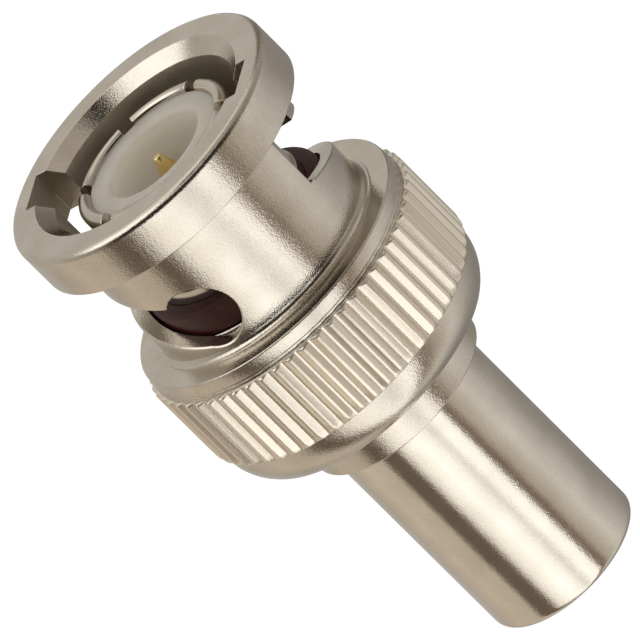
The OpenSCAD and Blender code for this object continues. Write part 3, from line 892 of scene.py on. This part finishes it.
# Tones of the panels round the object, by their angle from the camera towards the picture's lower
# left: low for what lies under the horizon, high for what stands on it
studio = {
    "low": [
        (-180, "#6f6c69"), (-140, "#7b7875"), (-118, "#8a8784"), (-92, "#a6a5a3"),
        (-70, "#bbb9b6"), (-50, "#a39d96"), (-40, "#968d83"), (-37, "#6d6157"), (-27, "#6d6157"),
        (-24, "#f0f0f0"), (-10, "#fafafa"), (0, "#cdcdcd"), (8, "#eeeeee"), (22, "#ffffff"),
        (40, "#e6e4e1"), (47, "#c9c6c2"), (50, "#a39f98"), (52, "#5c5349"), (75, "#5c5349"),
        (78, "#a69e94"), (112, "#b1a79b"), (140, "#9a948c"), (180, "#9a9896"),
    ],
    "high": [
        (-180, "#a5a29e"), (-166, "#a5a29e"), (-154, "#67625b"), (-142, "#67625b"),
        (-124, "#8b8884"), (-60, "#7b7772"), (-44, "#2e2a26"), (62, "#2e2a26"),
        (78, "#7b7772"), (110, "#9c9995"), (180, "#a5a29e"),
    ],
    "overhead": "#cdc9c4",
    # how far up (-1 to 1) low passes into high, and high into the overhead panel
    "horizon": (-0.16, -0.04), "ceiling": (0.6, 0.85),
    # strength of the panels in the metal's mirror, and of the plain light on everything else
    "strength": 1.6, "plain": 0.5,
    # soft boxes: angle round, height over the horizon, radius and soft edge in degrees
    "boxes": [
        {"round": -70, "height": 60, "radius": 16, "soft": 14, "tone": "#948f88"},
        {"round": 84, "height": 55, "radius": 19, "soft": 10, "tone": "#ffffff"},
        {"round": -12, "height": 70, "radius": 8, "soft": 5, "tone": "#1e1b18"},
    ],
}


def panelColour(tree, s):
    way = addNode(tree, "ShaderNodeTexCoord").outputs["Generated"]
    turned = addNode(
        tree, "ShaderNodeVectorRotate",
        {"rotation_type": "Z_AXIS", "Angle": -math.radians(view["towardsDeg"])}, {"Vector": way},
    ).outputs[0]
    parts = addNode(tree, "ShaderNodeSeparateXYZ", None, {0: turned})
    left = addNode(
        tree, "ShaderNodeMath", {"operation": "MULTIPLY", 1: -1.0}, {0: parts.outputs["Y"]}
    )
    swing = addNode(
        tree, "ShaderNodeMath", {"operation": "ARCTAN2"},
        {0: left.outputs[0], 1: parts.outputs["X"]},
    )
    share = stepOf(tree, swing.outputs[0], -math.pi, math.pi)
    low, high = [
        rampOf(tree, share, [((at + 180) / 360, tone) for at, tone in s[key]])
        for key in ("low", "high")
    ]
    upward = parts.outputs["Z"]
    wall = mixOf(tree, stepOf(tree, upward, *s["horizon"], shape="SMOOTHSTEP"), low, high)
    top = stepOf(tree, upward, *s["ceiling"], shape="SMOOTHSTEP")
    panels = mixOf(tree, top, wall, s["overhead"])
    for box in s["boxes"]:
        a = math.radians(box["round"])
        e = math.radians(box["height"])
        centre = (math.cos(e) * math.cos(a), -math.cos(e) * math.sin(a), math.sin(e))
        near = addNode(
            tree, "ShaderNodeVectorMath", {"operation": "DOT_PRODUCT", 1: centre}, {0: turned}
        )
        outer, inner = [
            math.cos(math.radians(size)) for size in (box["radius"] + box["soft"], box["radius"])
        ]
        inside = stepOf(tree, near.outputs["Value"], outer, inner, shape="SMOOTHSTEP")
        panels = mixOf(tree, inside, panels, box["tone"])
    return panels


def makeWorld(s):
    # the metal mirrors the panels, everything else gets a plain light, and the camera sees white
    world = bpy.data.worlds.new("studio")
    bpy.context.scene.world = world
    world.use_nodes = True
    tree = world.node_tree
    tree.nodes.clear()
    white = (1, 1, 1, 1)
    seen = addNode(
        tree, "ShaderNodeBackground", {"Strength": s["strength"]}, {"Color": panelColour(tree, s)}
    )
    plain = addNode(tree, "ShaderNodeBackground", {"Color": white, "Strength": s["plain"]})
    clean = addNode(tree, "ShaderNodeBackground", {"Color": white, "Strength": 1.0})
    ray = addNode(tree, "ShaderNodeLightPath")
    lit = addNode(
        tree, "ShaderNodeMixShader", None,
        {0: ray.outputs["Is Glossy Ray"], 1: plain.outputs[0], 2: seen.outputs[0]},
    )
    clear = addNode(
        tree, "ShaderNodeMath", {"operation": "MAXIMUM"},
        {0: ray.outputs["Is Camera Ray"], 1: ray.outputs["Is Transmission Ray"]},
    )
    both = addNode(
        tree, "ShaderNodeMixShader", None,
        {0: clear.outputs[0], 1: lit.outputs[0], 2: clean.outputs[0]},
    )
    addNode(tree, "ShaderNodeOutputWorld", None, {0: both.outputs[0]})


makeWorld(studio)

floorLook = {"halfSize": 3.0, "underMm": 0.02, "tone": 0.86, "glow": 1.12, "glowShare": 0.85}


def makeFloor(f):
    # white to the camera apart from the shadow, matt to other light, and not there in the mirror
    work = bmesh.new()
    bmesh.ops.create_grid(work, x_segments=1, y_segments=1, size=f["halfSize"])
    mesh = meshFrom(work, "floor")
    mesh.transform(Matrix.Translation((0, 0, -f["underMm"] * mm)))
    floor = newObject("floor", mesh)
    material = bpy.data.materials.new("paleFloor")
    material.use_nodes = True
    tree = material.node_tree
    tree.nodes.clear()
    ray = addNode(tree, "ShaderNodeLightPath")
    matt = addNode(tree, "ShaderNodeBsdfDiffuse", {"Color": (f["tone"], f["tone"], f["tone"], 1)})
    glow = addNode(tree, "ShaderNodeEmission", {"Color": (1, 1, 1, 1), "Strength": f["glow"]})
    nothing = addNode(tree, "ShaderNodeBsdfTransparent")
    pale = addNode(
        tree, "ShaderNodeMixShader", {0: f["glowShare"]}, {1: matt.outputs[0], 2: glow.outputs[0]}
    )
    direct = addNode(
        tree, "ShaderNodeMixShader", None,
        {0: ray.outputs["Is Camera Ray"], 1: matt.outputs[0], 2: pale.outputs[0]},
    )
    final = addNode(
        tree, "ShaderNodeMixShader", None,
        {0: ray.outputs["Is Glossy Ray"], 1: direct.outputs[0], 2: nothing.outputs[0]},
    )
    addNode(tree, "ShaderNodeOutputMaterial", None, {0: final.outputs[0]})
    mesh.materials.append(material)


makeFloor(floorLook)

lamps = {
    "key": {"spot": (-160, -140, 260), "size": 180, "power": 0.2},
    "fill": {"spot": (220, -60, 160), "size": 200, "power": 0.12},
}
lampAim = Vector((0, 0, 15 * mm))            # the middle of the part
for name, lamp in lamps.items():
    data = bpy.data.lights.new(name, "AREA")
    data.size = lamp["size"] * mm
    data.energy = lamp["power"]
    light = newObject(name, data)
    light.visible_glossy = False             # the metal mirrors the panels alone
    spot = Vector(lamp["spot"]) * mm
    turn = (spot - lampAim).to_track_quat("Z", "Y").to_matrix().to_4x4()
    light.matrix_world = Matrix.Translation(spot) @ turn
print("stage set")

bpy.context.scene.view_settings.view_transform = "Standard"
bpy.context.view_layer.update()
